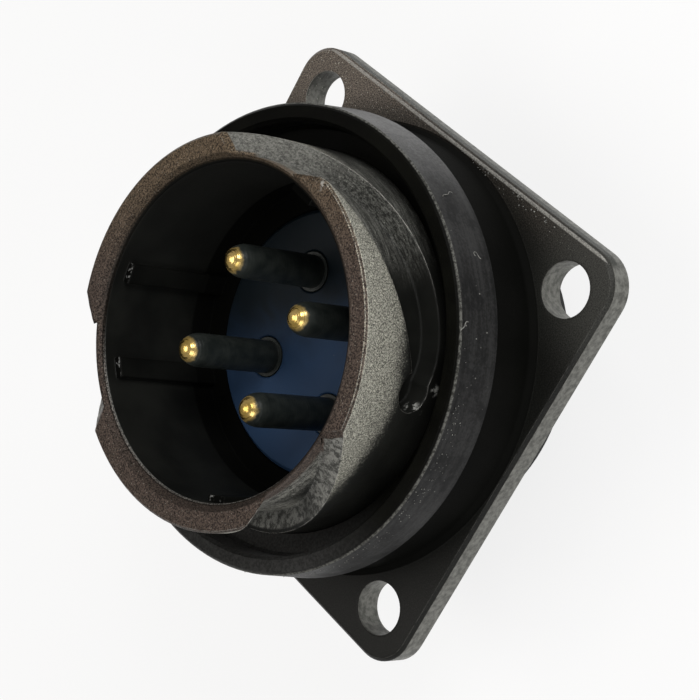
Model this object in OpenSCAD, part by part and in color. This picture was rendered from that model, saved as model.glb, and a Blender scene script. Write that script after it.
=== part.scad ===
// Panel receptacle of a circular power connector.
// A die-cast shell with a square flange and a three-start curved bayonet carries a rubber
// seal ring, a two-part insulator and four solder-cup pins. Z runs along the connector
// axis towards the mating mouth; Z = 0 is the panel face of the flange.

/* [Flange] */
// Distance from the seal ring's edge to the flange's sides
flange_margin = 0.25; // [0:0.05:4.5]
// Thickness of the flange
flange_t = 2.2; // [1.6:0.1:4]
// Radius of the flange corners
flange_corner_r = 2.9; // [1:0.1:5]
// Chamfer along the flange edges
flange_edge = 0.25; // [0.1:0.05:0.6]
// Distance from a mounting hole's centre to the flange's sides
hole_inset = 3.6; // [2.8:0.1:3.8]
// Diameter of the mounting holes
hole_d = 4; // [2.5:0.1:4.5]
// Inset of the round boss from the seal ring's edge
boss_inset = 0.55; // [0:0.05:1.5]
// Height of the round boss above the flange
boss_h = 4.6; // [2:0.1:6]

/* [Barrel] */
// Outer diameter of the barrel
barrel_d = 28; // [27.7:0.1:30]
// Length of the barrel from the flange to its rim
barrel_len = 14.6; // [13.6:0.1:20]
// Diameter of the mating bore
bore_d = 23.9; // [23:0.1:24.2]
// Lead-in chamfer of the mating bore
bore_chamfer = 0.6; // [0.55:0.05:0.7]
// Chamfer on the outer edge of the rim
rim_chamfer = 0.15; // [0.05:0.05:0.4]

/* [Bayonet grooves] */
// Number of bayonet grooves
groove_count = 3; // [2:1:3]
// Depth of the grooves below the barrel surface
groove_depth = 1.6; // [0.6:0.05:1.7]
// Angle at which the rear wall of the first groove leaves the rim
groove_far_angle = 36; // [24:1:45]
// Angle at which the front wall of the first groove leaves the rim
groove_near_angle = -10; // [-20:1:0]
// Angle of the first locking pocket
pocket_angle = -72; // [-80:1:-60]
// Diameter of the locking pockets
pocket_d = 2.9; // [2.4:0.1:3.4]
// Depth of the pocket centres below the rim
pocket_depth = 5.7; // [5:0.1:7]
// Rise of the front wall per degree of turn
ramp_rise = 0.09; // [0.07:0.005:0.1]
// Curvature of the rear wall: 1 is a straight ramp
ramp_curve = 1.75; // [1.4:0.05:3]
// Angle at which the rear wall is lowest
foot_angle = -58; // [-62:1:-50]
// Depth of the rear wall's lowest point below the pocket centres
foot_depth = 1.9; // [1.5:0.05:2.2]
// Flare of the front wall, from floor to surface, where it leaves the rim
tip_flare = 1.1; // [0:0.1:1.4]
// Flare of the rear wall, from floor to surface, where it leaves the rim
ramp_flare = 0.8; // [0:0.1:1]

/* [Keys] */
// Turn of the key pattern from the flange axis
key_turn = -4; // [-15:1:15]
// Width of the main key
main_key_w = 2; // [1.6:0.1:4]
// Height of the main key above the bore wall
main_key_h = 0.5; // [0.4:0.1:1.3]
// Width of the narrow keys
narrow_key_w = 1.5; // [1:0.1:2]
// Height of the narrow keys above the bore wall
narrow_key_h = 0.5; // [0.4:0.1:1.1]
// Depth of the narrow keys' front ends below the rim
narrow_key_depth = 1.6; // [1:0.1:3]

/* [Seal ring] */
// Radial width of the seal ring
seal_w = 3.25; // [2.6:0.05:4.2]
// Thickness of the seal ring's base
seal_base_t = 1.8; // [1:0.1:2.5]
// Height of the sealing lip above the base
lip_h = 2.3; // [1:0.1:2.8]
// Width of the sealing lip
lip_w = 1.35; // [0.8:0.05:1.6]
// Taper of the seal ring's outer face, from rear to front
seal_taper = 0.25; // [0:0.05:0.5]

/* [Insulator] */
// Diameter of the insulator face
insert_d = 20; // [18:0.1:20.6]
// Depth of the insulator face below the rim
insert_depth = 11; // [9:0.1:12]
// Height of the insulator face above the shell's ledge
insert_proud = 0.4; // [0:0.1:1]
// Thickness of the shell's inner ledge
ledge_t = 1.6; // [1:0.1:2.2]
// Radial width of the insulator's seating flange
insert_step = 1.2; // [1.1:0.05:1.4]
// Thickness of the insulator's seating flange
insert_flange_t = 2.2; // [1.4:0.1:3]
// Length of the rear insulator half
rear_insert_t = 6; // [4:0.1:10]
// Width of the rib that stops the insulator turning
insert_key_w = 2; // [1:0.1:3]
// Height of the rib that stops the insulator turning
insert_key_h = 0.8; // [0.4:0.1:1.2]
// Section diameter of the insulator's O-ring
oring_d = 1; // [0.6:0.05:1.1]
// Thickness of the retaining ring
snap_t = 1; // [0.6:0.1:1.5]
// Radial width of the retaining ring
snap_w = 1.5; // [1.2:0.1:2]
// Depth of the retaining ring's groove
snap_groove = 0.8; // [0.4:0.1:1]
// Opening of the retaining ring, in degrees
snap_gap = 24; // [10:1:60]
// Wall of the rear spigot
spigot_wall = 1.9; // [1.4:0.1:2.4]
// Length of the spigot behind the retaining ring
spigot_lip = 1.2; // [0.8:0.1:3]

/* [Contacts] */
// Diameter of the pins
pin_d = 2.5; // [1.5:0.1:2.6]
// Diameter of the circle that the pins stand on
pin_circle_d = 10.8; // [9.5:0.1:12]
// Angle of the first pin
pin_angle = 45; // [0:1:90]
// Depth of the pin tips below the rim
pin_tip_depth = 2.2; // [1:0.1:4]
// Length of the pins' rounded nose
nose_len = 1.7; // [1.2:0.1:3]
// Diameter of the contact's shank in the front insulator
shank_d = 3; // [2.7:0.1:3.2]
// Diameter of the contact's shoulder
shoulder_d = 4.2; // [3.8:0.1:4.8]
// Thickness of the contact's shoulder
shoulder_t = 1.4; // [0.8:0.1:2]
// Outer diameter of the solder cups
cup_d = 3.2; // [2.8:0.1:3.6]
// Inner diameter of the solder cups
cup_bore_d = 2.4; // [1.6:0.1:2.6]
// Depth of the solder cups
cup_depth = 5; // [3.5:0.1:6]
// Length of the cups' open side
cup_cut = 2.2; // [1.5:0.1:2.4]
// Length of the contacts behind the spigot
cup_out = 4.4; // [3:0.1:8]

/* [Clearances] */
// Radial clearance between the insulator and the shell's ledge
insert_gap = 0.15; // [0.05:0.05:0.3]
// Radial clearance between the insulator's flange and the rear bore
flange_gap = 0.1; // [0.05:0.05:0.2]
// Radial clearance between the contacts and the insulator
contact_gap = 0.06; // [0.02:0.02:0.2]
// Radial clearance between the seal ring and the barrel
seal_gap = 0.05; // [0.02:0.01:0.1]
// Clearance round the retaining ring and the insulator's rib
ring_gap = 0.05; // [0.02:0.01:0.1]

/* [Hidden] */
$fn = 96;
CONTACTS = 4;
CUP_SHARE = 1 / 6;
GROOVE_STEP = 4;
OVER = 0.5;
NARROW_KEY_ANGLES = [105, 140, 215, 265];

// Levels along the axis
z_boss = flange_t + boss_h;
z_rim = flange_t + barrel_len;
z_face = z_rim - insert_depth;
z_ledge = z_face - insert_proud;
z_seat = z_ledge - ledge_t;
z_insert_flange = z_seat - oring_d;
z_split = z_insert_flange - insert_flange_t;
z_insert_end = z_split - rear_insert_t;
z_snap = z_insert_end - snap_t - ring_gap;
z_spigot = z_snap - ring_gap - spigot_lip;
z_tip = z_rim - pin_tip_depth;
z_cup = z_spigot - cup_out;
z_pocket = z_rim - pocket_depth;
z_seal = z_boss + seal_base_t + lip_h;

// Sizes that follow the barrel and the insulator
seal_d = barrel_d + 2 * seal_w;
boss_d = seal_d - 2 * boss_inset;
flange_side = seal_d + 2 * flange_margin;
hole_spacing = flange_side - 2 * hole_inset;
insert_flange_d = insert_d + 2 * insert_step;

// Radii shared by pieces that meet
barrel_r = barrel_d / 2;
bore_r = bore_d / 2;
floor_r = barrel_r - groove_depth;
rear_bore_r = insert_flange_d / 2 + flange_gap;
spigot_r = rear_bore_r + spigot_wall;
snap_groove_r = rear_bore_r + snap_groove;

// Part of the way from angle a0 to angle a1, and the flare per unit of depth that grows with it
function share(a, a0, a1) = max(0, (a - a0) / (a1 - a0));
function flare(a, a0, a1) = min(1, share(a, a0, a1)) / groove_depth;

// Height of the front and the rear wall of a groove at angle a, on the barrel's surface
function front_wall(a) = z_rim + (a - groove_near_angle) * ramp_rise;
function rear_wall(a) = z_foot
    + (z_rim - z_foot) * pow(share(a, foot_angle, groove_far_angle), ramp_curve)
    + (z_catch - z_foot) * pow(share(a, foot_angle, band_start), 2);
z_foot = z_pocket - foot_depth;
z_catch = z_pocket - 0.3 * pocket_d;
band_start = pocket_angle - asin(pocket_d / 4 / barrel_r);
band_end = groove_far_angle + 1.5 * GROOVE_STEP;

// Rectangular plate with round corners and chamfered edges
module chamfered_plate(side, t, corner_r, c) {
    run = side - 2 * corner_r;
    section = [[-side / 2 + c, 0], [side / 2 - c, 0], [side / 2, c], [side / 2, t - c],
        [side / 2 - c, t], [-side / 2 + c, t], [-side / 2, t - c], [-side / 2, c]];
    for (turn = [0, 90])
        rotate([90, 0, turn])
            linear_extrude(run, center = true)
                polygon(section);
    for (x = [-1, 1], y = [-1, 1])
        translate([x * run / 2, y * run / 2, 0])
            rotate_extrude()
                polygon([[0, 0], [corner_r - c, 0], [corner_r, c], [corner_r, t - c],
                    [corner_r - c, t], [0, t]]);
}

// One curved band between the two walls of a groove, from inside the floor to outside the
// barrel. The walls are square to the axis in the groove and flare towards its open end.
module groove_band() {
    steps = ceil((band_end - band_start) / GROOVE_STEP);
    radii = [floor_r - OVER, barrel_r + OVER];
    angles = [for (i = [0:steps]) band_start + (band_end - band_start) * i / steps];
    points = [for (a = angles, corner = [[0, 0], [1, 0], [1, 1], [0, 1]])
        let (r = radii[corner.x],
            rear_lift = ramp_flare * flare(a, groove_near_angle, groove_far_angle),
            front_drop = tip_flare * flare(a, foot_angle, groove_near_angle),
            z = corner.y == 0 ? rear_wall(a) + rear_lift * (barrel_r - r)
                : front_wall(a) - front_drop * (barrel_r - r))
        [r * cos(a), r * sin(a), z]];
    sides = [for (i = [0:steps - 1], k = [0:3])
        let (n = (k + 1) % 4)
        [4 * i + k, 4 * i + n, 4 * i + 4 + n, 4 * i + 4 + k]];
    ends = [[3, 2, 1, 0], [for (k = [0:3]) 4 * steps + k]];
    polyhedron(points, concat(sides, ends));
}

// The bayonet grooves: curved bands that end in round locking pockets
module bayonet_grooves() {
    difference() {
        for (i = [0:groove_count - 1])
            rotate(i * 360 / groove_count) {
                groove_band();
                rotate(pocket_angle)
                    translate([floor_r - OVER, 0, z_pocket])
                        rotate([0, 90, 0])
                            cylinder(h = groove_depth + 2 * OVER, d = pocket_d, $fn = 48);
            }
        cylinder(h = z_rim + OVER, r = floor_r);
    }
}

// Turned outside of the shell: spigot, boss and barrel
module shell_outside() {
    edge = 0.4;
    rotate_extrude()
        polygon([[0, z_spigot], [spigot_r - edge, z_spigot], [spigot_r, z_spigot + edge],
            [spigot_r, flange_t / 2], [boss_d / 2 + edge, flange_t / 2],
            [boss_d / 2 + edge, flange_t], [boss_d / 2, flange_t + edge],
            [boss_d / 2, z_boss - edge], [boss_d / 2 - edge, z_boss], [barrel_r, z_boss],
            [barrel_r, z_rim - rim_chamfer], [barrel_r - rim_chamfer, z_rim], [0, z_rim]]);
}

// Turned inside of the shell: mating bore, ledge, rear bore and ring groove
module shell_inside() {
    ledge_r = insert_d / 2 + insert_gap;
    rotate_extrude()
        polygon([[0, z_spigot - OVER], [rear_bore_r, z_spigot - OVER],
            [rear_bore_r, z_snap - ring_gap], [snap_groove_r, z_snap - ring_gap],
            [snap_groove_r, z_snap + snap_t + ring_gap],
            [rear_bore_r, z_snap + snap_t + ring_gap], [rear_bore_r, z_seat],
            [ledge_r, z_seat], [ledge_r, z_ledge], [bore_r, z_ledge],
            [bore_r, z_rim - bore_chamfer], [bore_r + bore_chamfer + OVER, z_rim + OVER],
            [0, z_rim + OVER]]);
}

// A rib that stands on the wall of a bore of radius r
module bore_rib(r, w, h, z0, z1) {
    translate([r - h, -w / 2, z0])
        cube([h + OVER, w, z1 - z0]);
}

// The keys in the mating bore and the rib that stops the insulator, rooted in the ledge
module ribs() {
    root = ledge_t / 3;
    rotate(key_turn) {
        bore_rib(bore_r, main_key_w, main_key_h, z_ledge - root, z_rim - bore_chamfer);
        for (a = NARROW_KEY_ANGLES)
            rotate(a)
                bore_rib(bore_r, narrow_key_w, narrow_key_h, z_ledge - root,
                    z_rim - narrow_key_depth);
        bore_rib(rear_bore_r, insert_key_w, insert_key_h, z_insert_end,
            z_insert_flange - ring_gap);
    }
}

module shell() {
    color("#5b544f")
    difference() {
        union() {
            shell_outside();
            chamfered_plate(flange_side, flange_t, flange_corner_r, flange_edge);
        }
        difference() {
            shell_inside();
            ribs();
        }
        bayonet_grooves();
        for (x = [-1, 1], y = [-1, 1])
            translate([x * hole_spacing / 2, y * hole_spacing / 2, -OVER])
                cylinder(h = flange_t + 2 * OVER, d = hole_d);
    }
}

module seal_ring() {
    inner_r = barrel_r + seal_gap;
    rear_r = seal_d / 2;
    front_r = rear_r - seal_taper;
    lip_r = front_r - lip_w;
    z_base = z_boss + seal_base_t;
    edge = 0.25;
    color("#262626")
    rotate_extrude()
        polygon([[inner_r, z_boss], [rear_r - edge, z_boss], [rear_r, z_boss + edge],
            [front_r, z_seal - edge], [front_r - edge, z_seal], [lip_r + edge, z_seal],
            [lip_r, z_seal - edge], [lip_r, z_base + edge], [lip_r - edge, z_base],
            [inner_r, z_base]]);
}

// Puts its children at each contact
module at_contacts() {
    for (i = [0:CONTACTS - 1])
        rotate(pin_angle + i * 360 / CONTACTS)
            translate([pin_circle_d / 2, 0, 0])
                children();
}

// Slot in the insulator for the shell's rib
module rib_slot(z0, z1) {
    rotate(key_turn)
        bore_rib(rear_bore_r, insert_key_w + 2 * ring_gap, insert_key_h + ring_gap, z0, z1);
}

module front_insulator() {
    edge = 0.3;
    hole_edge = 0.1;
    hole_r = shank_d / 2 + contact_gap;
    color("#1d2d55")
    difference() {
        rotate_extrude()
            polygon([[0, z_split], [insert_flange_d / 2, z_split],
                [insert_flange_d / 2, z_insert_flange], [insert_d / 2, z_insert_flange],
                [insert_d / 2, z_face - edge], [insert_d / 2 - edge, z_face], [0, z_face]]);
        at_contacts() {
            translate([0, 0, z_split - OVER])
                cylinder(h = z_face - z_split + 2 * OVER, r = hole_r);
            translate([0, 0, z_split - OVER])
                cylinder(h = shoulder_t / 2 + OVER, r = shoulder_d / 2 + contact_gap);
            translate([0, 0, z_face - hole_edge])
                cylinder(h = 2 * hole_edge, r1 = hole_r, r2 = hole_r + 2 * hole_edge);
        }
        rib_slot(z_split - OVER, z_insert_flange + OVER);
    }
}

module rear_insulator() {
    color("#23241f")
    difference() {
        translate([0, 0, z_insert_end])
            cylinder(h = rear_insert_t, r = insert_flange_d / 2);
        at_contacts() {
            translate([0, 0, z_insert_end - OVER])
                cylinder(h = rear_insert_t + 2 * OVER, r = cup_d / 2 + contact_gap);
            translate([0, 0, z_split - shoulder_t / 2])
                cylinder(h = shoulder_t / 2 + OVER, r = shoulder_d / 2 + contact_gap);
        }
        rib_slot(z_insert_end - OVER, z_split + OVER);
    }
}

module insulator_o_ring() {
    color("#1b1b1b")
    translate([0, 0, z_seat - oring_d / 2])
        rotate_extrude()
            translate([(insert_d + oring_d) / 2, 0])
                circle(d = oring_d, $fn = 32);
}

module retaining_ring() {
    outer_r = snap_groove_r - ring_gap;
    color("#8f9296")
    rotate([0, 0, key_turn + snap_gap / 2])
        rotate_extrude(angle = 360 - snap_gap)
            translate([outer_r - snap_w, z_snap])
                square([snap_w, snap_t]);
}

// One contact on its own axis: bullet-nosed pin, shank, shoulder and open solder cup
module contact_body() {
    pin_r = pin_d / 2;
    nose = [for (a = [0:10:90]) [pin_r * cos(a), z_tip - nose_len + nose_len * sin(a)]];
    difference() {
        rotate_extrude($fn = 64)
            polygon(concat([[0, z_cup], [cup_d / 2, z_cup],
                [cup_d / 2, z_split - shoulder_t / 2], [shoulder_d / 2, z_split - shoulder_t / 2],
                [shoulder_d / 2, z_split + shoulder_t / 2],
                [shank_d / 2, z_split + shoulder_t / 2], [shank_d / 2, z_face], [pin_r, z_face]],
                nose));
        translate([0, 0, z_cup - OVER])
            cylinder(h = cup_depth + OVER, d = cup_bore_d, $fn = 64);
        translate([cup_bore_d * CUP_SHARE, -cup_d, z_cup - OVER])
            cube([cup_d, 2 * cup_d, cup_cut + OVER]);
    }
}

module contact(i) {
    color("#c9a24b")
    rotate(pin_angle + (i - 1) * 360 / CONTACTS)
        translate([pin_circle_d / 2, 0, 0])
            contact_body();
}

shell();
seal_ring();
front_insulator();
rear_insulator();
insulator_o_ring();
retaining_ring();
contact(1);  // contact_1
contact(2);  // contact_2
contact(3);  // contact_3
contact(4);  // contact_4
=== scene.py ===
import math
import random

import bmesh
import bpy
from mathutils import Matrix, Vector


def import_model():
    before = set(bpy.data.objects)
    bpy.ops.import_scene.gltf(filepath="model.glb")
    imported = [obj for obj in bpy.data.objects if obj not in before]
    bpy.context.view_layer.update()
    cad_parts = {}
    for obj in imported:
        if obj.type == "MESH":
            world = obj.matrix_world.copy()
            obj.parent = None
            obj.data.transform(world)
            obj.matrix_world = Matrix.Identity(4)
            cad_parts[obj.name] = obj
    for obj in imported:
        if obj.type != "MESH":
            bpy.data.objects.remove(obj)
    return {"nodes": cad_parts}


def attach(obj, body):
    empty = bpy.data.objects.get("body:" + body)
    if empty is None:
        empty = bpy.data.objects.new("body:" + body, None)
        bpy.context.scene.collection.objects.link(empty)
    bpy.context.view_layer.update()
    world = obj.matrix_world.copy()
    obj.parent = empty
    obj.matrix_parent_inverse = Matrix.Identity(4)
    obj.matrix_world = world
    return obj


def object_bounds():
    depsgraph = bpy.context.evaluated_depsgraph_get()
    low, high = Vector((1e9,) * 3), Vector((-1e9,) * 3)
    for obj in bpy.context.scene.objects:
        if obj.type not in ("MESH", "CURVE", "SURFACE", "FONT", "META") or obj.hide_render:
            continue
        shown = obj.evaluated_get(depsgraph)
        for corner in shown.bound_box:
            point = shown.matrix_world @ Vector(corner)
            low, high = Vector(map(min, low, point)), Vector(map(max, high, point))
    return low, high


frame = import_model()
cad_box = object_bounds()
nodes = frame["nodes"]
random.seed(7)

# ---------------------------------------------------------------- sizes of the part, in mm
MM = 0.001
Z_LOW = cad_box[0][2] / MM
Z_RIM = cad_box[1][2] / MM
HALF_SIDE = cad_box[1][0] / MM
Z_FLANGE = 2.2  # front face of the flange
Z_BOSS = 6.8  # front face of the round boss
Z_LIP = 10.9  # front of the seal ring's lip
Z_KEYS = 15.2  # front ends of the narrow keys
Z_TIP = 14.6  # tips of the pins
BARREL_R = 14.0
BORE_R = 11.95
MOUTH_R = 12.55  # outer edge of the bore's lead-in chamfer
FLOOR_R = 12.4  # floors of the bayonet grooves
KEY_R = 11.45  # inner faces of the keys
FOOT_R = 17.1  # foot of the boss
SEAL_R = 17.08  # outer face of the seal ring, half way up

# ---------------------------------------------------------------- colours, linear
# Pairs of tones, dark and light, that a noise mixes on the shell
SHELL_PAIRS = {
    # black: painted shade on the barrel below its bright lands, in the deep grooves and in the bore
    "black": ((0.0062, 0.0064, 0.0057), (0.0130, 0.0134, 0.0116)),
    # land: rubbed bare metal of the lands; its light end is partly painted light
    "land": ((0.080, 0.079, 0.067), (0.63, 0.62, 0.53)),
    "scored": ((0.034, 0.034, 0.030), (0.270, 0.268, 0.240)),
    "ramp": ((0.050, 0.050, 0.045), (0.215, 0.215, 0.195)),
    "low_floor": ((0.042, 0.042, 0.038), (0.23, 0.23, 0.212)),
    "brown": ((0.0120, 0.0090, 0.0080), (0.135, 0.103, 0.085)),
    # painted light: the rim's brown, lighter on the +X+Y side
    "brown_lit_aloft": ((0.020, 0.0145, 0.010), (0.200, 0.150, 0.100)),
    "side": ((0.10, 0.10, 0.09), (0.22, 0.22, 0.20)),
    # the flange face in painted shade, away from its lit +X side
    "face_in_shade": ((0.0022, 0.0023, 0.0019), (0.017, 0.0175, 0.0150)),
}
# Single tones that are laid over them
SHELL_TONES = {
    # painted light: the painted shade a little lighter on the +X+Y side
    "shade_lighter_aloft": (0.022, 0.022, 0.020),
    # painted shade: the bright lands a little darker on the +X+Y side
    "land_shaded_aloft": (0.10, 0.10, 0.09),
    "side_groove": (0.035, 0.037, 0.030),
    # painted sunlight on the flange's +X face
    "sunny": (0.225, 0.188, 0.155),
    # painted light at the flange's +X -Y corner
    "corner": (0.045, 0.045, 0.040),
    # pale grains of the cast face, brightest where lit: partly painted glints
    "speck": (0.90, 0.88, 0.78),
    # painted glints on the lightest grains of the bright lands
    "painted_glint": (0.95, 0.93, 0.82),
    # rubbed edges, and a painted highlight along the flange's +X edge
    "worn_edge_and_highlight": (0.55, 0.54, 0.50),
    # painted glints along the rim's outer edge
    "crest_glint": (0.85, 0.81, 0.66),
    # painted glints at the locking pocket and rim, and a painted highlight on the bore's edge
    "glint_spot": (0.62, 0.62, 0.58),
    # painted shade, nearly black
    "painted_shade": (0.0028, 0.0029, 0.0025),
    "glint": (0.16, 0.16, 0.155),
}
RUBBER_BLACK = ((0.0012, 0.0012, 0.0008), (0.0032, 0.0033, 0.0022))
RUBBER_LOW = ((0.018, 0.018, 0.0175), (0.034, 0.034, 0.033))
RUBBER_CLEAN = (0.002, 0.002, 0.0019)
RUBBER_BLOT = (0.0015, 0.0017, 0.0018)
RUBBER_SPECK = (0.24, 0.24, 0.22)
# painted highlight along the seal's front outer edge
RUBBER_EDGE_HIGHLIGHT = (0.12, 0.12, 0.11)
BLUE = ((0.0037, 0.0074, 0.0104), (0.019, 0.043, 0.093))
BLACK = ((0.009, 0.009, 0.008), (0.018, 0.018, 0.016))
PLASTIC_DUST = (0.10, 0.11, 0.12)
# pin bodies: dark colour painted in as the reflection of the dark bore
PAINTED_DARK_REFLECTION = ((0.012, 0.0152, 0.0140), (0.026, 0.030, 0.027))
GOLD = ((0.62, 0.42, 0.11), (0.86, 0.62, 0.24))
STEEL = ((0.34, 0.34, 0.35), (0.56, 0.56, 0.57))
LINT = ((0.08, 0.08, 0.075), (0.26, 0.26, 0.24))


# ---------------------------------------------------------------- camera
def camera():
    """The camera that fits the photograph."""
    cam = bpy.data.cameras.new("camera")
    cam.sensor_width = 36
    cam.lens = 97.59
    cam.clip_start = 0.005
    cam.clip_end = 5
    right = Vector((0.45648, -0.60150, -0.65561))
    up = Vector((0.82994, 0.55343, 0.07011))
    back = Vector((0.32066, -0.57612, 0.75184))
    stand = Matrix((right, up, back)).transposed().to_4x4()
    stand.translation = Vector((45.48, -82.35, 109.57)) * MM
    ob = bpy.data.objects.new("camera", cam)
    ob.matrix_world = stand
    bpy.context.scene.collection.objects.link(ob)
    bpy.context.scene.camera = ob


# ---------------------------------------------------------------- materials
class Mat:
    """Builds one node material. Values are numbers, tuples or other nodes' outputs.

    A mask is 1 inside its zone and 0 outside it. Lengths and places are in mm.
    """

    def __init__(self, name):
        self.m = bpy.data.materials.new(name)
        self.m.use_nodes = True
        self.tree = self.m.node_tree
        self.tree.nodes.clear()
        self.out = self.node("ShaderNodeOutputMaterial")
        self.place = self.node("ShaderNodeTexCoord").outputs["Object"]
        split = self.node("ShaderNodeSeparateXYZ")
        self.put(split.inputs[0], self.place)
        self.x, self.y, self.z = split.outputs
        self.r = self.math("SQRT", self.add(self.both(self.x, self.x), self.both(self.y, self.y)))

    def node(self, kind, **props):
        made = self.tree.nodes.new(kind)
        for key, value in props.items():
            setattr(made, key, value)
        return made

    def put(self, socket, value):
        if isinstance(value, bpy.types.NodeSocket):
            self.tree.links.new(value, socket)
            return
        if socket.type == "RGBA" and len(value) == 3:
            value = (*value, 1)
        socket.default_value = value

    # arithmetic
    def math(self, op, a, b=0.0):
        n = self.node("ShaderNodeMath", operation=op)
        self.put(n.inputs[0], a)
        self.put(n.inputs[1], b)
        return n.outputs[0]

    def fold(self, op, parts):
        total = parts[0]
        for part in parts[1:]:
            total = self.math(op, total, part)
        return total

    def add(self, *parts):
        return self.fold("ADD", parts)

    def both(self, *parts):
        """The product: several masks at once, or a value at a share of its strength."""
        return self.fold("MULTIPLY", parts)

    def either(self, *parts):
        return self.fold("MAXIMUM", parts)

    def no(self, mask):
        return self.math("SUBTRACT", 1.0, mask)

    def vec(self, op, a, b):
        n = self.node("ShaderNodeVectorMath", operation=op)
        self.put(n.inputs[0], a)
        self.put(n.inputs[1], b)
        return n.outputs["Value"] if op in ("DOT_PRODUCT", "DISTANCE") else n.outputs[0]

    def ramp(self, value, lo, hi, a=0.0, b=1.0):
        """Goes smoothly from a at value lo to b at value hi."""
        n = self.node("ShaderNodeMapRange", interpolation_type="SMOOTHSTEP")
        self.put(n.inputs["Value"], value)
        for key, limit in (("From Min", lo), ("From Max", hi), ("To Min", a), ("To Max", b)):
            self.put(n.inputs[key], limit)
        return n.outputs[0]

    def mix(self, share, a, b):
        n = self.node("ShaderNodeMix", data_type="RGBA")
        first, second = (s for s in n.inputs if s.type == "RGBA")
        self.put(n.inputs[0], share)
        self.put(first, a)
        self.put(second, b)
        return next(s for s in n.outputs if s.type == "RGBA")

    def mottle(self, value, lo, hi, pair):
        """The dark and the light tone of a pair, mixed by a noise between lo and hi."""
        return self.mix(self.ramp(value, lo, hi), *pair)

    # textures
    def noise(self, size, detail=3.0, rough=0.55, at=None, distort=0.0):
        n = self.node("ShaderNodeTexNoise")
        self.put(n.inputs["Vector"], self.place if at is None else at)
        self.put(n.inputs["Scale"], 1 / (size * MM))
        self.put(n.inputs["Detail"], detail)
        self.put(n.inputs["Roughness"], rough)
        self.put(n.inputs["Distortion"], distort)
        return n.outputs["Fac"]

    def cells(self, size):
        """Distance from the nearest of many scattered points, in shares of their spacing."""
        n = self.node("ShaderNodeTexVoronoi")
        self.put(n.inputs["Vector"], self.place)
        self.put(n.inputs["Scale"], 1 / (size * MM))
        return n.outputs["Distance"]

    def turned(self, around, across):
        """Places that run round the axis, so that a noise follows turning marks."""
        angle = self.math("ARCTAN2", self.y, self.x)
        n = self.node("ShaderNodeCombineXYZ")
        self.put(n.inputs[0], self.math("DIVIDE", self.both(angle, BARREL_R * MM), around))
        self.put(n.inputs[1], self.math("DIVIDE", self.r, across))
        self.put(n.inputs[2], self.math("DIVIDE", self.z, across))
        return n.outputs[0]

    # masks
    def above(self, value, level, soft=0.1):
        """0 up to a level in mm, 1 from soft past it."""
        return self.ramp(value, level * MM, (level + soft) * MM)

    def below(self, value, level, soft=0.1):
        """1 up to a level in mm, 0 from soft past it."""
        return self.no(self.above(value, level, soft))

    def toward(self, dx, dy, lo, hi):
        """1 on the side of the axis that a direction points to."""
        along = self.add(self.both(self.x, dx), self.both(self.y, dy))
        return self.ramp(along, lo * MM, hi * MM)

    def spot(self, place, reach, core):
        """1 within core of a place, 0 beyond its reach."""
        place = tuple(v * MM for v in place)
        return self.ramp(self.vec("DISTANCE", self.place, place), reach * MM, core * MM)

    def near(self, angle, radius, height, reach, core):
        """A spot given by its angle round the axis."""
        a = math.radians(angle)
        return self.spot((radius * math.cos(a), radius * math.sin(a), height), reach, core)

    def normal(self):
        return self.node("ShaderNodeNewGeometry").outputs["Normal"]

    def facing(self, axis):
        return self.vec("DOT_PRODUCT", self.normal(), axis)

    def tipped(self):
        """How far a face looks along the axis, forward or back."""
        return self.math("ABSOLUTE", self.facing((0, 0, 1)))

    def rounded(self, radius):
        """Normals as if the edges had this radius."""
        n = self.node("ShaderNodeBevel", samples=6)
        self.put(n.inputs["Radius"], radius * MM)
        return n.outputs[0]

    def edges(self, radius, full, none):
        """1 on sharp edges, 0 on flat ground, between two cosines of the rounding."""
        turn = self.vec("DOT_PRODUCT", self.rounded(radius), self.normal())
        return self.ramp(turn, none, full)

    # surface
    def bump(self, height, depth, strength=1.0, soft=0.0):
        n = self.node("ShaderNodeBump")
        self.put(n.inputs["Strength"], strength)
        self.put(n.inputs["Distance"], depth * MM)
        self.put(n.inputs["Height"], height)
        if soft:
            self.put(n.inputs["Normal"], self.rounded(soft))
        return n.outputs[0]

    def shader(self, color, rough, metal=0.0, **extra):
        n = self.node("ShaderNodeBsdfPrincipled")
        self.put(n.inputs["Base Color"], color)
        self.put(n.inputs["Roughness"], rough)
        self.put(n.inputs["Metallic"], metal)
        for key, value in extra.items():
            self.put(n.inputs[key.replace("_", " ")], value)
        return n.outputs[0]

    def finish(self, *values, **extra):
        self.put(self.out.inputs[0], self.shader(*values, **extra))
        return self.m


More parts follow.
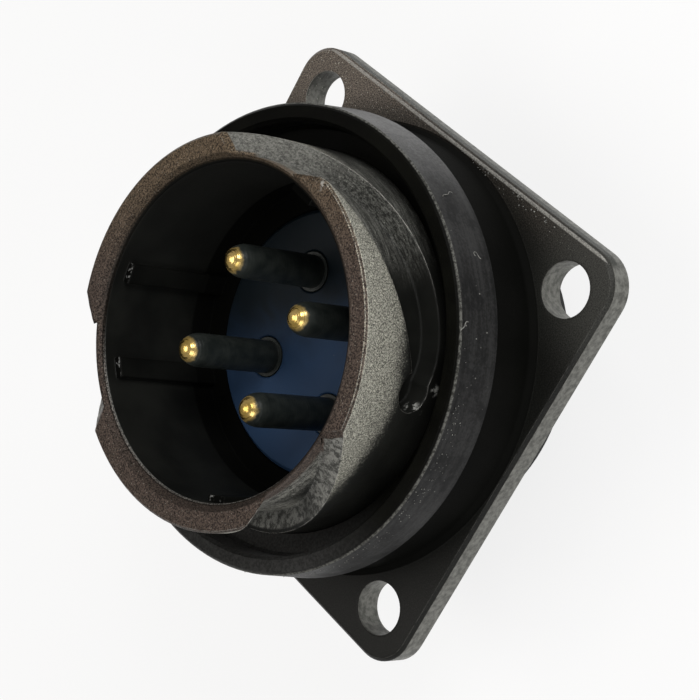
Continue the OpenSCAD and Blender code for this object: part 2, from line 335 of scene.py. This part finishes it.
class Shell(Mat):
    """Die-cast shell: brown sandy faces; bright rubbed metal on the barrel lands, raised by painted light;
    painted shade on the barrel toward the flange, in the bore and on the neck and boss.
    """

    def __init__(self):
        super().__init__("cast_metal")
        self.grain = self.noise(0.10, 4, 0.8)
        self.sand = self.noise(0.13, 4, 0.8)
        self.coarse = self.noise(0.45, 3, 0.6)
        self.patch = self.noise(4.0, 3, 0.5)
        self.scratch = self.noise(1.0, 4, 0.65, at=self.turned(1.6, 0.14))
        self.up = self.ramp(self.facing((0, 0, 1)), 0.45, 0.8)
        self.edge_on = self.no(self.ramp(self.tipped(), 0.2, 0.5))
        # the +X+Y side, where tones are shifted as painted light and shade
        self.aloft = self.toward(0.83, 0.55, 3.0, 13.0)
        self.find_rim()
        self.find_barrel()
        self.find_flange()

    def find_rim(self):
        """Rim, mouth, bore and keys."""
        self.outside = self.above(self.r, BORE_R + 0.1)
        chamfer = self.both(self.above(self.z, Z_RIM - 0.7), self.below(self.r, MOUTH_R - 0.05, 0.05))
        self.mouth = self.both(chamfer, self.up)
        # painted light: the chamfer is brown only where it faces the light; the rest of it goes into the
        # painted shade
        lit = self.both(self.ramp(self.facing((0.42, 0.21, 0.88)), 0.35, 0.7), self.mouth)
        self.rim = self.either(lit, self.both(self.up, self.above(self.z, Z_RIM - 0.38, 0.06)))
        collar = self.both(self.above(self.z, Z_RIM - 1.3, 0.3), self.below(self.r, FLOOR_R + 0.2))
        self.strip = self.both(collar, self.outside, self.no(self.rim))
        self.bore = self.both(self.no(self.outside), self.below(self.z, Z_RIM - 0.4, 0.3))
        ribs = self.both(self.below(self.r, BORE_R - 0.15), self.above(self.r, KEY_R - 0.13, 0.06))
        self.key = self.both(self.bore, ribs)

    def find_barrel(self):
        """Lands between the grooves, bright above a ragged height and in painted shade below it, and the
        groove floors, ramps and entries.
        """
        free = self.above(self.z, Z_BOSS + 0.4, 0.4)
        barrel = self.both(free, self.outside, self.no(self.rim), self.no(self.mouth))
        wave = self.both(self.add(self.patch, -0.5), 2.0 * MM)
        ragged = self.both(self.add(self.sand, -0.5), 3.0 * MM)
        # painted shade: below this ragged height the barrel turns dark toward the flange
        shade_height = self.add(self.z, wave, ragged, self.both(self.x, 0.08))
        # a patch on the -X -Y side where the bright tone reaches further down
        low_bright_patch = self.both(self.near(-140, 13.2, 11.0, 5.5, 3.0), self.below(self.r, BARREL_R - 0.4, 0.2))
        streaks = self.ramp(self.add(self.scratch, self.both(self.sand, 0.6)), 0.55, 1.05, 0.05, 0.95)
        # painted shade: up-facing groove faces deeper than about 11.4 mm stay dark
        high_floor = self.both(self.up, self.either(self.above(self.add(self.z, wave), 11.4, 2.2), low_bright_patch))
        self.entry = self.below(self.r, FLOOR_R + 0.2, 0.3)
        self.land = self.both(barrel, self.no(self.up), self.either(self.above(shade_height, 12.9, 1.5), low_bright_patch))
        self.bright_land = self.both(self.land, self.no(self.entry))
        self.upper_ramp = self.both(self.near(-12, 13.0, 11.2, 7.0, 2.0), streaks)
        self.ramp_floor = self.both(barrel, self.either(high_floor, self.upper_ramp))
        self.neck = self.both(self.above(self.z, Z_FLANGE - 0.03, 0.02), self.no(free),
                              self.below(self.r, FOOT_R + 0.02, 0.06))

    def find_flange(self):
        """The flange, with painted sunlight on its +X side and painted light at the corner that catches
        light.
        """
        self.flange = self.both(self.below(self.z, Z_FLANGE + 0.05), self.above(self.z, -0.2))
        # painted shade: the painted sunlight weaker close to the boss foot and toward -Y
        out = self.ramp(self.r, (FOOT_R + 0.1) * MM, (FOOT_R + 2.5) * MM, 0.35, 1.0)
        across = self.ramp(self.y, -6 * MM, 3 * MM, 0.42, 1.0)
        self.sunny = self.both(self.toward(1.0, 0.2, 11.5, 18.0), out, across)
        self.corner = self.spot((HALF_SIDE - 0.5, 0.5 - HALF_SIDE, Z_FLANGE), 9.0, 3.0)
        self.bright = self.either(self.bright_land, self.both(self.flange, self.sunny))

    def pair(self, value, lo, hi, name):
        return self.mottle(value, lo, hi, SHELL_PAIRS[name])

    def lay(self, mask, color, name):
        """A named tone over a colour, where the mask is."""
        return self.mix(mask, color, SHELL_TONES[name])

    def barrel_color(self):
        # painted shade on the barrel, a little lighter on the +X+Y side
        black = self.pair(self.patch, 0.3, 0.7, "black")
        black = self.lay(self.both(self.aloft, 0.6), black, "shade_lighter_aloft")
        # bright lands, a little darker on the +X+Y side as painted shade
        light = self.pair(self.grain, 0.41, 0.61, "land")
        light = self.lay(self.both(self.aloft, 0.25), light, "land_shaded_aloft")
        gouge = self.add(self.both(self.scratch, 0.6), self.both(self.coarse, 0.4), self.sand)
        scored = self.pair(gouge, 0.90, 1.12, "scored")
        high = self.pair(self.add(self.scratch, self.sand), 0.75, 1.25, "ramp")
        low = self.pair(self.add(self.sand, self.coarse), 0.86, 1.14, "low_floor")
        color = self.mix(self.land, black, self.mix(self.entry, light, scored))
        return self.mix(self.ramp_floor, color, self.mix(self.toward(0.83, 0.55, -4, 4), low, high))

    def flange_color(self, color):
        """Front face and sides of the flange, over the colour of the rest."""
        side = self.pair(self.coarse, 0.3, 0.7, "side")
        dark_half = self.both(self.above(self.z, 0.9, 0.4), self.toward(1.0, 0.0, 17.0, 17.3))
        side = self.lay(dark_half, side, "side_groove")
        # the face: painted shade, with painted sunlight on the +X side and painted light at the corner
        face = self.pair(self.grain, 0.42, 0.66, "face_in_shade")
        face = self.lay(self.both(self.sunny, self.ramp(self.grain, 0.39, 0.61)), face, "sunny")
        face = self.lay(self.both(self.corner, self.ramp(self.grain, 0.38, 0.62, 0.2, 1.0)), face, "corner")
        color = self.mix(self.both(self.flange, self.up), color, face)
        return self.mix(self.both(self.flange, self.edge_on), color, side)

    def rim_color(self, color):
        brown = self.pair(self.sand, 0.39, 0.61, "brown")
        # painted light: the brown lighter on the +X+Y side
        brown = self.mix(self.aloft, brown, self.pair(self.sand, 0.39, 0.61, "brown_lit_aloft"))
        return self.mix(self.either(self.rim, self.strip), color, brown)

    def specks_and_glints(self, color):
        """Light specks of the cast grain, weighted to lit faces as painted glints, and painted glints on the
        lightest grains of the bright lands.
        """
        speck = self.ramp(self.cells(0.26), 0.15, 0.05)
        share = self.either(self.both(self.rim, 0.4), self.both(self.bright, 0.9),
                            self.both(self.upper_ramp, 0.8))
        color = self.lay(self.both(speck, share), color, "speck")
        return self.lay(self.both(self.bright_land, self.ramp(self.grain, 0.60, 0.70)), color, "painted_glint")

    def find_wear_and_highlight(self):
        """Edges rubbed bright on the barrel, pockets and flange, stronger on the flange's lit side as
        painted light, with a painted highlight along the flange's +X edge.
        """
        high = self.above(self.z, 11.0, 2.5)
        pocket = self.both(self.above(self.r, BARREL_R - 0.3), self.above(self.z, 9.2, 1.0))
        outer = self.both(self.either(high, pocket), self.above(self.r, BARREL_R - 1.0, 0.2))
        front = self.both(self.flange, self.either(self.sunny, 0.2))
        rubbed = self.both(self.edges(0.07, 0.93, 0.99), self.ramp(self.coarse, 0.34, 0.56),
                           self.either(outer, front), self.no(self.neck))
        arris_highlight = self.both(self.flange, self.toward(1.0, 0.0, HALF_SIDE - 0.38, HALF_SIDE - 0.30),
                          self.above(self.z, Z_FLANGE - 0.14, 0.04),
                          self.ramp(self.sand, 0.35, 0.60, 0.2, 1.0))
        return self.either(rubbed, self.both(arris_highlight, 0.7))

    def find_crest_glint(self):
        """Painted glints along the outer edge of the rim, beside the bright land."""
        past = self.both(self.above(self.z, Z_RIM - 0.9, 0.2), self.above(self.r, MOUTH_R + 0.3))
        crest_glint = self.both(self.edges(0.16, 0.95, 0.995), self.toward(0.72, -0.69, 10.5, 12.6), past)
        return self.both(crest_glint, self.ramp(self.sand, 0.46, 0.62))

    def find_glint_spots(self):
        """Painted glints at the locking pocket and at the rim."""
        glint_spots = self.either(self.near(-77.5, 13.5, 10.1, 0.75, 0.3), self.near(-71, 13.9, 8.9, 0.55, 0.2),
                            self.near(-10, 13.7, Z_RIM, 0.8, 0.3))
        return self.both(glint_spots, self.ramp(self.coarse, 0.50, 0.60))

    def find_lip_highlight(self):
        """Painted highlight: a pale line along the bore's edge on the -X side."""
        line = self.both(self.above(self.z, Z_RIM - 0.72, 0.06), self.below(self.z, Z_RIM - 0.54, 0.06),
                         self.below(self.r, BORE_R + 0.13, 0.06))
        return self.both(line, self.toward(-0.98, -0.17, 3, 9), self.ramp(self.sand, 0.35, 0.6))

    def find_glints(self):
        """Front ends of the narrow keys."""
        ends = self.both(self.above(self.z, Z_KEYS - 0.1, 0.05), self.below(self.z, Z_KEYS + 0.1))
        return self.both(self.key, self.up, ends, self.ramp(self.noise(0.35, 2), 0.54, 0.64))

    def find_painted_shade(self, lip):
        """Painted shade, nearly black, on the neck, bore floor, unlit inner chamfer and keys."""
        painted_shade = self.either(self.both(self.neck, 0.85), self.both(self.bore, self.up),
                             self.both(self.mouth, self.no(self.rim)), self.both(self.key, 0.5))
        return self.both(painted_shade, self.no(lip))

    def build(self):
        color = self.barrel_color()
        color = self.flange_color(color)
        color = self.rim_color(color)
        color = self.specks_and_glints(color)
        wear_and_highlight = self.find_wear_and_highlight()
        lip = self.find_lip_highlight()
        painted_shade = self.find_painted_shade(lip)
        color = self.lay(self.both(wear_and_highlight, 0.85), color, "worn_edge_and_highlight")
        color = self.lay(self.find_crest_glint(), color, "crest_glint")
        color = self.lay(self.either(self.both(self.find_glint_spots(), 0.6), self.both(lip, 0.35)), color, "glint_spot")
        color = self.lay(painted_shade, color, "painted_shade")
        color = self.lay(self.find_glints(), color, "glint")

        bare = self.either(self.bright_land, self.rim, wear_and_highlight, self.both(self.flange, self.edge_on))
        metal = self.ramp(bare, 0, 1, 0, 0.75)
        rough = self.either(self.ramp(self.grain, 0.3, 0.7, 0.38, 0.55), self.both(painted_shade, 0.85))
        height = self.add(self.both(self.grain, 0.8), self.both(self.coarse, 0.5),
                          self.both(self.entry, self.land, self.scratch))
        strength = self.ramp(self.either(self.bright, self.rim, self.ramp_floor), 0, 1, 0.35, 1.0)
        return self.finish(color, rough, metal, Normal=self.bump(height, 0.06, strength, soft=0.3),
                           Specular_IOR_Level=self.ramp(painted_shade, 0, 1, 0.2, 0.02))


def rubber(name, dusty):
    """Black seal rubber: dust in the grain of its outer face, paler on its +X side as painted light, a
    painted highlight along its front edge, and specks.
    """
    m = Mat(name)
    fine = m.noise(0.2, 4, 0.65)
    cloud = m.noise(3.0, 4, 0.6)
    streak = m.noise(1.0, 3, 0.6, at=m.turned(6.0, 0.35))
    flat = m.ramp(m.tipped(), 0.3, 0.8)

    # faces that look forward or back, greyer on the -X side
    black = m.mottle(cloud, 0.35, 0.7, RUBBER_BLACK)
    black = m.mix(m.ramp(m.x, -3 * MM, -12 * MM), black, m.mottle(fine, 0.35, 0.65, RUBBER_LOW))

    # outer faces
    sunny = m.ramp(m.facing((0.93, 0.36, 0)), 0.70, 1.0)
    blot = m.both(m.ramp(cloud, 0.48, 0.56), m.ramp(m.noise(1.2, 3, 0.6), 0.42, 0.56))
    dust = m.mottle(m.add(fine, streak), 0.75, 1.25, (RUBBER_CLEAN, (dusty,) * 3))
    dust = m.mix(m.both(blot, 0.75), dust, RUBBER_BLOT)
    # painted light: the outer face paler where it faces +X
    dust = m.mix(m.both(sunny, fine), dust, (dusty * 12,) * 3)
    crowd = m.ramp(m.add(m.noise(1.2, 2), m.both(m.y, -0.012 / MM)), 0.62, 0.80)
    speck = m.both(m.ramp(m.cells(0.6), 0.12, 0.05), crowd, m.no(flat))
    # painted highlight along the front outer edge
    line = m.both(m.above(m.z, Z_LIP - 0.32, 0.08), m.below(m.z, Z_LIP - 0.18, 0.08),
                  m.above(m.r, SEAL_R - 0.48), m.ramp(fine, 0.4, 0.6, 0.25, 1.0))

    base = m.mix(flat, dust, black)
    base = m.mix(speck, base, RUBBER_SPECK)
    base = m.mix(line, base, RUBBER_EDGE_HIGHLIGHT)
    return m.finish(base, m.ramp(cloud, 0.3, 0.7, 0.44, 0.6),
                    Normal=m.bump(m.add(fine, m.both(cloud, 0.4)), 0.02, 0.6),
                    Specular_IOR_Level=m.ramp(flat, 0, 1, 0.18, 0.04))


def plastic(name, pair, rough, gloss):
    """Moulded plastic with faint flow marks and dust, paler to the lower side as painted light and darker to
    the upper side as painted shade.
    """
    m = Mat(name)
    cloud = m.noise(2.5, 4, 0.55, distort=0.6)
    # painted light and shade: paler toward -X -Y, darker toward +X +Y
    across = m.math("SUBTRACT", m.both(cloud, 6 * MM), m.add(m.x, m.y))
    base = m.mottle(across, -4 * MM, 7 * MM, pair)
    dust = m.both(m.ramp(m.cells(1.1), 0.05, 0.02), m.ramp(m.noise(1.7, 2), 0.52, 0.6))
    base = m.mix(dust, base, PLASTIC_DUST)
    return m.finish(base, m.ramp(cloud, 0.3, 0.7, rough - 0.06, rough + 0.1),
                    Normal=m.bump(m.noise(0.12, 3, 0.6), 0.012, 0.5, soft=0.1),
                    Specular_IOR_Level=gloss)


def gold():
    """Plated contact metal: clean gold at the tip; along the body a nearly black colour painted in for the
    dark bore that the metal reflects.
    """
    m = Mat("gold_plate")
    cloud = m.noise(0.9, 3, 0.5)
    ring = m.noise(0.5, 2, 0.5, at=m.vec("MULTIPLY", m.place, (0.15, 0.15, 6.0)))
    tip = m.above(m.add(m.z, m.both(m.add(cloud, -0.5), 0.8 * MM)), Z_TIP - 0.65, 0.4)
    base = m.mix(tip, m.mottle(cloud, 0.3, 0.7, PAINTED_DARK_REFLECTION), m.mottle(cloud, 0.35, 0.7, GOLD))
    return m.finish(base, m.ramp(tip, 0, 1, 0.42, 0.22), tip,
                    Normal=m.bump(m.add(ring, m.both(cloud, 1.2)), 0.03, 0.7, soft=0.06),
                    Specular_IOR_Level=0.35)


def steel():
    """Rolled spring steel with fine scratches along the band."""
    m = Mat("spring_steel")
    line = m.noise(1.0, 4, 0.6, at=m.turned(4.0, 0.12))
    return m.finish(m.mottle(line, 0.3, 0.7, STEEL), m.ramp(line, 0.3, 0.7, 0.24, 0.42), 1.0,
                    Normal=m.bump(line, 0.006, 0.5, soft=0.05))


def lint():
    """Pale fluff and grains of dirt."""
    m = Mat("lint")
    tone = m.ramp(m.noise(0.3, 3), 0.35, 0.65)
    return m.finish(m.mix(tone, *LINT), m.ramp(tone, 0, 1, 0.6, 0.8), Normal=m.bump(tone, 0.01))


def dress():
    looks = {
        "shell": Shell().build(),
        "seal_ring": rubber("seal_rubber", dusty=0.019),
        "front_insulator": plastic("blue_plastic", BLUE, rough=0.46, gloss=0.12),
        "rear_insulator": plastic("black_plastic", BLACK, rough=0.42, gloss=0.2),
        "insulator_o_ring": rubber("o_ring_rubber", dusty=0.015),
        "retaining_ring": steel(),
    }
    contact = gold()
    for name, ob in nodes.items():
        ob.data.materials.clear()
        ob.data.materials.append(looks.get(name, contact))


# ---------------------------------------------------------------- loose dirt
def piece(name, bm, material):
    mesh = bpy.data.meshes.new(name)
    bmesh.ops.recalc_face_normals(bm, faces=bm.faces)
    bm.to_mesh(mesh)
    bm.free()
    mesh.materials.append(material)
    ob = bpy.data.objects.new(name, mesh)
    bpy.context.scene.collection.objects.link(ob)
    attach(ob, "root")


def strand(bm, points, thick):
    """A thin round thread through points in mm, thinner at both ends."""
    sides = 6
    end_share = 0.35
    last = len(points) - 1
    rings = []
    for i, point in enumerate(points):
        ahead = points[min(i + 1, last)] - points[max(i - 1, 0)]
        turn = ahead.to_track_quat("Z", "Y").to_matrix()
        size = thick * (end_share if i in (0, last) else 1.0)
        ring = []
        for k in range(sides):
            a = 2 * math.pi * k / sides
            spoke = turn @ Vector((size * math.cos(a), size * math.sin(a), 0))
            ring.append(bm.verts.new((point + spoke) * MM))
        rings.append(ring)
    for one, two in zip(rings, rings[1:]):
        for k in range(sides):
            after = (k + 1) % sides
            bm.faces.new((one[k], one[after], two[after], two[k]))
    bm.faces.new(rings[0])
    bm.faces.new(rings[-1][::-1])


def fibre(name, material, angle, height, length, curl, lean):
    """A curled lint fibre that lies on the outer face of the seal ring."""
    steps = 22
    thick = 0.036
    lift, arch = 0.03, 0.05
    bends = 2.6 * math.pi
    heading = lean
    along, rise = 0.0, 0.0
    points = []
    for i in range(steps + 1):
        t = i / steps
        a = math.radians(angle) + along / SEAL_R
        radius = SEAL_R + lift + arch * math.sin(math.pi * t)
        points.append(Vector((radius * math.cos(a), radius * math.sin(a), height + rise)))
        heading += curl * (0.4 + 1.3 * math.sin(bends * t)) / steps
        along += math.cos(heading) * length / steps
        rise += math.sin(heading) * length / steps
    bm = bmesh.new()
    strand(bm, points, thick)
    piece(name, bm, material)


def crumb(bm, at, size):
    """An irregular grain of dirt."""
    made = bmesh.ops.create_icosphere(bm, subdivisions=1, radius=size * MM)
    for v in made["verts"]:
        v.co *= random.uniform(0.6, 1.2)
        v.co += at * MM


def crumbs(name, material, count, place, sizes):
    bm = bmesh.new()
    for _ in range(count):
        crumb(bm, place(), random.uniform(*sizes))
    piece(name, bm, material)


def on_seal():
    """A place on the outer face of the seal ring, mostly on the -Y side."""
    a = math.radians(random.gauss(-106, 25))
    z = random.uniform(7.3, 10.5)
    return Vector((SEAL_R * math.cos(a), SEAL_R * math.sin(a), z))


def on_flange():
    """A place near the flange's +X edge, mostly in two drifts."""
    y = random.choice((random.gauss(-2.0, 1.2), random.gauss(-7.5, 1.5), random.uniform(-11, 10)))
    return Vector((17.25 - abs(random.gauss(0, 0.35)), y, Z_FLANGE))


def dirt():
    thread = lint()
    fibre("fibre_1", thread, angle=-21, height=8.3, length=1.7, curl=3.5, lean=0.6)
    fibre("fibre_2", thread, angle=-37, height=8.3, length=2.3, curl=-10.0, lean=2.2)
    fibre("fibre_3", thread, angle=-53, height=10.1, length=1.2, curl=3.0, lean=1.2)
    crumbs("seal_dust", thread, 240, on_seal, (0.025, 0.055))
    crumbs("flange_dust", thread, 90, on_flange, (0.03, 0.08))


# ---------------------------------------------------------------- stage and light
def floor_material():
    """Pale floor that cameras, mirrors and glass see mostly as white."""
    m = Mat("pale_floor")
    pale = m.shader(m.ramp(m.noise(40, 2), 0.3, 0.7, 0.86, 0.9), 0.8)
    glow = m.node("ShaderNodeEmission")
    m.put(glow.inputs["Color"], (1, 1, 1))
    m.put(glow.inputs["Strength"], 1.0)
    ray = m.node("ShaderNodeLightPath").outputs
    seen = m.either(ray["Is Camera Ray"], ray["Is Glossy Ray"], ray["Is Transmission Ray"])
    blend = m.node("ShaderNodeMixShader")
    m.put(blend.inputs[0], m.both(seen, 0.8))
    m.put(blend.inputs[1], pale)
    m.put(blend.inputs[2], glow.outputs[0])
    m.put(m.out.inputs[0], blend.outputs[0])
    return m.m


def stage():
    half = 1.5
    corners = [(x * half, y * half, Z_LOW * MM) for x, y in ((-1, -1), (1, -1), (1, 1), (-1, 1))]
    mesh = bpy.data.meshes.new("floor")
    mesh.from_pydata(corners, [], [(0, 1, 2, 3)])
    mesh.materials.append(floor_material())
    ob = bpy.data.objects.new("floor", mesh)
    bpy.context.scene.collection.objects.link(ob)


def world():
    """Soft warm light all round; the camera sees plain white."""
    w = bpy.data.worlds.new("world")
    bpy.context.scene.world = w
    w.use_nodes = True
    tree = w.node_tree
    tree.nodes.clear()
    out = tree.nodes.new("ShaderNodeOutputWorld")
    mix = tree.nodes.new("ShaderNodeMixShader")
    path = tree.nodes.new("ShaderNodeLightPath")
    tree.links.new(path.outputs["Is Camera Ray"], mix.inputs[0])
    for slot, color, strength in ((1, (0.95, 0.93, 0.90, 1), 0.34), (2, (1, 1, 1, 1), 1.0)):
        sky = tree.nodes.new("ShaderNodeBackground")
        sky.inputs[0].default_value = color
        sky.inputs[1].default_value = strength
        tree.links.new(sky.outputs[0], mix.inputs[slot])
    tree.links.new(mix.outputs[0], out.inputs[0])


def lamp(name, place, size, power, color=(1, 1, 1)):
    """A square soft box at a place in mm, aimed at the middle of the part."""
    light = bpy.data.lights.new(name, "AREA")
    light.size = size * MM
    light.energy = power
    light.color = color
    at = Vector(place) * MM
    target = Vector((0, 0, 8)) * MM
    ob = bpy.data.objects.new(name, light)
    ob.location = at
    ob.rotation_euler = (target - at).to_track_quat("-Z", "Y").to_euler()
    bpy.context.scene.collection.objects.link(ob)


def lights():
    lamp("key", (190, -60, 150), size=120, power=0.32)
    lamp("fill", (-60, -190, 160), size=160, power=0.16)
    lamp("top", (-40, 60, 240), size=140, power=0.20, color=(1, 0.96, 0.92))


camera()
dress()
dirt()
stage()
world()
lights()
bpy.context.scene.view_settings.view_transform = "Standard"
